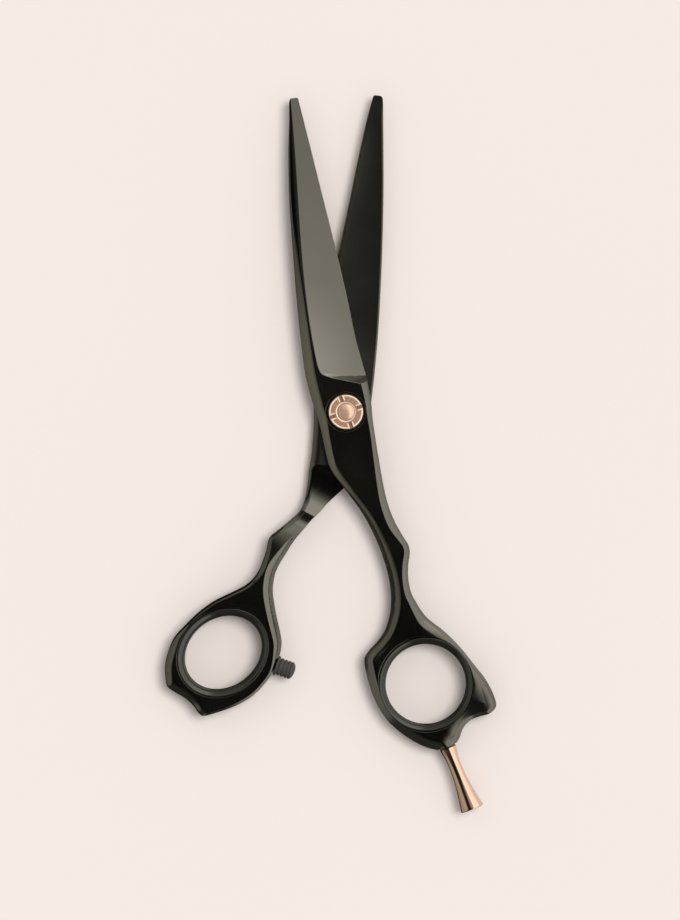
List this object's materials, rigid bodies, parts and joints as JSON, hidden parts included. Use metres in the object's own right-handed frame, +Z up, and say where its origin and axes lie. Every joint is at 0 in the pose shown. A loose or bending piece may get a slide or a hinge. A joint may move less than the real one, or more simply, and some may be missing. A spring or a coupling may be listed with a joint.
{
  "type": "hair cutting shears",
  "caption": "Black-coated hair cutting shears with offset finger rings, a tension dial at the pivot, a screw-in finger rest and a rubber bumper.",
  "frame": {"origin": "on the pivot axis, at the flat under side of the rear pivot head", "axes": "+Z is up along the pivot axis, from the rear head towards the tension dial; +Y runs along the shears from the rings towards the tips; +X is towards the finger ring's side"},
  "size_m": [0.076, 0.1646, 0.0089],
  "materials": {
    "black_steel": "gloss black coating on steel",
    "soft_black": "satin black silicone",
    "rubber_grey": "matte dark grey rubber",
    "rose_gold": "polished rose-gold plating",
    "steel": "ground steel",
    "bronze": "plain bronze",
    "acetal": "black acetal"
  },
  "bodies": {
    "finger_half": {"finger_blade": "black_steel", "finger_handle": "black_steel", "finger_insert": "soft_black", "finger_rest": "rose_gold", "rest_washer": "soft_black", "pivot_bush": "bronze", "front_race": "steel"},
    "thumb_half": {"thumb_blade": "black_steel", "thumb_handle": "black_steel", "thumb_insert": "soft_black", "bumper": "rubber_grey", "bumper_stud": "steel", "pivot_stud": "rose_gold", "rear_race": "steel", "slide_washer": "acetal", "wave_washer": "steel"},
    "bearing": {"bearing_cage": "bronze", "bearing_balls": "steel"},
    "click": {"click_washer": "steel"},
    "dial": {"tension_dial": "rose_gold"}
  },
  "joints": [
    {"name": "blade_pivot", "type": "hinge", "parent": "finger_half", "child": "thumb_half", "pos_m": [0, 0, 0.0042], "axis": [0, 0, -1], "range_deg": [-15.4, 105]},
    {"name": "bearing_turn", "type": "hinge", "parent": "finger_half", "child": "bearing", "pos_m": [0, 0, 0.0042], "axis": [0, 0, -1], "range_deg": [-8, 53]},
    {"name": "click_slide", "type": "slide", "parent": "thumb_half", "child": "click", "axis": [0, 0, 1], "range_m": [-0.000124, 0.000124], "deforming": ["wave_washer"]},
    {"name": "dial_turn", "type": "hinge", "parent": "click", "child": "dial", "pos_m": [0, 0, 0.0072], "axis": [0, 0, 1], "range_deg": [-90, 90]}
  ],
  "couplings": [
    {"joint": "bearing_turn", "follows": "blade_pivot", "ratio": 0.5},
    {"joint": "dial_turn", "follows": "click_slide", "rad_per_m": 12566}
  ]
}
